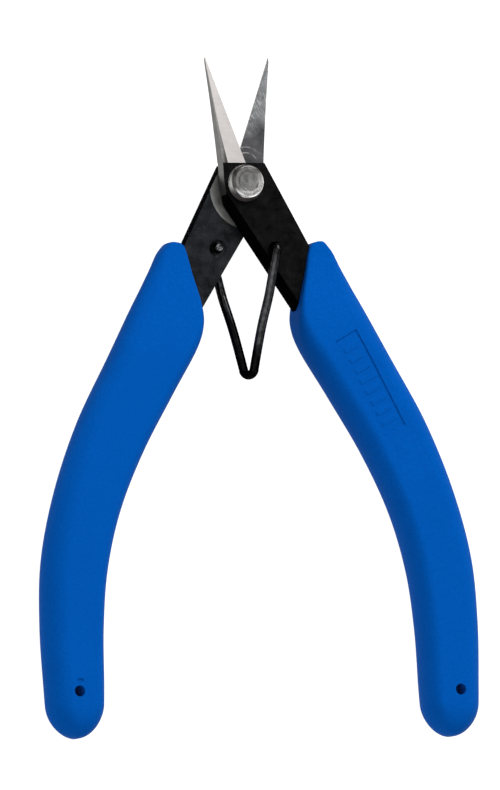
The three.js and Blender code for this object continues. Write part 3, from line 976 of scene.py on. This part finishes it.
def panel_drop(x, y):
    """How far the front face sinks at the panel, with plain ribs standing in it."""
    spot = Vector((x, y)) - PANEL_CORNER
    length, breadth = PANEL_DOWN.length, PANEL_ACROSS.length
    down = spot.dot(PANEL_DOWN) / length
    over = spot.dot(PANEL_ACROSS) / breadth
    if not (-0.1 < down < length + 0.1 and -0.1 < over < breadth + 0.1):
        return 0.0
    sunk = within(down, 0, length, PANEL_EDGE) * within(over, 0, breadth, PANEL_EDGE)
    pitch = (length - 2 * RIB_MARGIN) / PANEL_RIBS
    step = (down - RIB_MARGIN) % pitch
    rib = within(step, pitch * 0.22, pitch * 0.78, RIB_EDGE)
    rib *= within(over, RIB_SIDE_MARGIN, breadth - RIB_SIDE_MARGIN, RIB_EDGE)
    if not RIB_MARGIN < down < length - RIB_MARGIN:
        rib = 0.0
    return PANEL_DEPTH * (sunk - 0.5 * rib)


def into_end(y):
    """Rises from 0 to 1 along the rounded lower end."""
    return min(1.0, max(0.0, GRIP_END_ROUND - (y - GRIP_END_Y)) / GRIP_END_ROUND)


def end_rounding(y):
    """The share of the grip's width left at y, which narrows in an arc at the lower end."""
    return max(0.02, math.sqrt(1 - into_end(y) ** 2))


def end_dome(across, y):
    """The share of the height left at a place across the grip, whose end is partly a dome."""
    dome = math.sqrt(max(0.0, 1 - (2 * across - 1) ** 2))
    return mix(1.0, dome, GRIP_END_DOME * into_end(y))


def mouth_rounding(along, least):
    """Rises from least at the mouth's very end to 1, as a quarter of a circle does."""
    start = min(1.0, along / MOUTH_SHARE)
    return mix(least, 1.0, math.sqrt(start * (2 - start)))


def half_ring(rounding_share, along, width, flat_steps):
    """Across and rise, each 0 to 1, from the inner side over one face to the outer side."""
    wall_steps, corner_steps = 3, 12
    near_mouth = smooth(0.0, 0.06, along)
    inner_inset = min(mix(*INNER_ROUNDS, rounding_share), width * 0.45) / width
    outer_inset = mix(*OUTER_ROUNDS, smooth(0.0, 0.4, along)) * mix(0.5, 1, near_mouth)
    outer_inset = min(outer_inset, width * 0.45) / width
    inner_corner = mix(0.22, 1.0, rounding_share)
    ring = [(0.0, (1 - inner_corner) * step / wall_steps) for step in range(wall_steps)]
    for step in range(corner_steps):
        angle = math.radians(90 * step / corner_steps)
        ring.append((inner_inset * (1 - math.cos(angle)), 1 - inner_corner * (1 - math.sin(angle))))
    for step in range(flat_steps):
        ring.append((mix(inner_inset, 1 - outer_inset, step / flat_steps), 1.0))
    for step in range(corner_steps):
        angle = math.radians(90 * step / corner_steps)
        ring.append((1 - outer_inset * (1 - math.sin(angle)), math.cos(angle)))
    ring.append((1.0, 0.0))
    return ring


def grip_rings():
    """The grip's cross-sections from mouth to end, with the panel sunk in the front face."""
    rings = []
    for along in grip_rows():
        inner = catmull(GRIP_INNER, along)
        outer = catmull(GRIP_OUTER, along)
        width = (outer - inner).length
        share = smooth(0.2, 0.42, along)
        width_share = mouth_rounding(along, 0.35) * end_rounding((inner.y + outer.y) / 2)
        front = half_ring(share, along, width, 96)
        back = half_ring(share, along, width, 24)
        section = front + [(across, -rise) for across, rise in reversed(back[1:-1])]
        ring = []
        for across, rise in section:
            spot = inner.lerp(outer, mix(0.5, across, width_share))
            height = grip_half_thickness(spot.y) * mouth_rounding(along, 0.75) * rise
            height *= end_dome(across, spot.y)
            if rise > 0.97:
                height -= panel_drop(spot.x, spot.y)
            ring.append((spot.x, spot.y, PLATE_MIDDLE + height))
        rings.append(ring)
    return rings


def make_grip(name, turned, finish):
    """One moulding, with its hanging hole and, on its back, a small mould dash."""
    grip = skin(name, grip_rings())
    boolean(grip, prism("hang_hole", disc(HANG_HOLE, HANG_HOLE_RADIUS), -10, 12), "DIFFERENCE")
    back = PLATE_MIDDLE - GRIP_HALF_THICKNESS
    half_length, half_breadth = MOULD_DASH_HALVES
    dash = [
        (MOULD_DASH.x + half_length * x, MOULD_DASH.y + half_breadth * y) for x, y in disc((0, 0), 1, 24)
    ]
    boolean(grip, prism("mould_dash", dash, back - 1, back + MOULD_DASH_DEPTH), "DIFFERENCE")
    grip.data.materials.clear()
    grip.data.materials.append(finish)
    shade(grip, 40)
    place(grip, turned)
    return grip


# ---- the tool ----

finishes = [
    oxide("black_oxide", (0.0022, 0.0022, 0.0024), (0.009, 0.009, 0.0095), 0.44),
    ground_steel("bevel_steel", (0.475, 0.452, 0.44), (0.61, 0.58, 0.563), math.radians(20), 0.47),
    # taper steel, with painted shade at its heel
    ground_steel(
        "taper_steel", (0.075, 0.074, 0.071), (0.17, 0.167, 0.162), math.radians(80), 0.42,
        heel_painted_shade=(0.045, 0.044, 0.042),
    ),
    inner_face_steel(),
    spine_steel(),
    worn_edge(),
    oxide("thin_oxide", (0.0055, 0.0061, 0.007), (0.0225, 0.0242, 0.0275), 0.46),
    matte_black(),
    # darker oxide for the arm's chamfer: painted shade
    oxide("chamfer_painted_shade_oxide", (0.0003, 0.0003, 0.00033), (0.0012, 0.0012, 0.0013), 0.44),
]
rubber = blue_rubber()

PIECES = [
    (make_plate("front_stamping", False, finishes), "front_half", "front_blade_arm", "blackened_steel"),
    (make_plate("rear_stamping", True, finishes), "rear_half", "rear_blade_arm", "blackened_steel"),
    (make_rivet(rivet_steel()), "front_half", "pivot_rivet", "bright_steel"),
    (make_grip("right_grip", False, rubber), "front_half", "front_grip", "blue_rubber"),
    (make_grip("left_grip", True, rubber), "rear_half", "rear_grip", "blue_rubber"),
]
for piece, body, node, finish_slot in PIECES:
    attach(piece, body)
    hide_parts(node)

spring = make_spring(spring_wire(), sheared_wire())
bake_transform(spring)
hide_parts("front_spring_leg", "rear_spring_leg")

# ---- camera ----

VIEW_BACK = Vector((-0.3803, -0.1115, 0.9181)).normalized()
VIEW_UP = Vector((-0.0049, 0.99295, 0.11853))
FRAME_HEIGHT = 162.55 * MM
CAMERA_DISTANCE = 4.0
SENSOR = 36.0
AIM_RIGHT = 1.79
AIM_DOWN = 43.42

view_right = VIEW_UP.cross(VIEW_BACK).normalized()
view_up = VIEW_BACK.cross(view_right).normalized()
aim = PIVOT + (view_right * AIM_RIGHT - view_up * AIM_DOWN) * MM
camera_data = bpy.data.cameras.new("camera")
camera_data.sensor_fit = "AUTO"
camera_data.sensor_width = SENSOR
camera_data.lens = SENSOR * CAMERA_DISTANCE / FRAME_HEIGHT
camera_data.clip_start = 0.05
camera_data.clip_end = 50.0
camera = new_object("camera", camera_data)
axes = Matrix((view_right, view_up, VIEW_BACK)).transposed()
camera.matrix_world = Matrix.Translation(aim + VIEW_BACK * CAMERA_DISTANCE) @ axes.to_4x4()
bpy.context.scene.camera = camera

# ---- floor and light ----

FLOOR_GLOW = 0.95
FLOOR_HALF = 3.0
FLOOR_GAP = 0.0002
WORLD_GLOW = 0.3


def area_light(name, spot, size, power):
    """A round lamp that faces the rivet."""
    data = bpy.data.lights.new(name, "AREA")
    data.shape = "DISK"
    data.size = size
    data.energy = power
    lamp = new_object(name, data)
    lamp.location = spot
    lamp.rotation_mode = "QUATERNION"
    lamp.rotation_quaternion = (PIVOT - lamp.location).to_track_quat("-Z", "Y")


floor = mesh_object("floor", [(x, y, 0) for x, y in square(FLOOR_HALF)], [(0, 1, 2, 3)])
floor.location.z = cad_box[0].z - FLOOR_GAP
floor.data.materials.append(pale_floor())

world = bpy.data.worlds.new("studio")
world.use_nodes = True
world.node_tree.nodes["Background"].inputs["Color"].default_value = (1, 1, 1, 1)
world.node_tree.nodes["Background"].inputs["Strength"].default_value = WORLD_GLOW
bpy.context.scene.world = world
bpy.context.scene.view_settings.view_transform = "Standard"
area_light("key", Vector((0.36, 0.80, 0.72)), 0.8, 14.5)
area_light("left_fill", Vector((-0.62, -0.19, 1.05)), 2.0, 11.5)
area_light("right_card", Vector((1.1, 0.41, 0.25)), 0.6, 1.05)
area_light("front_card", Vector((0.74, -0.66, 0.62)), 0.9, 2.6)
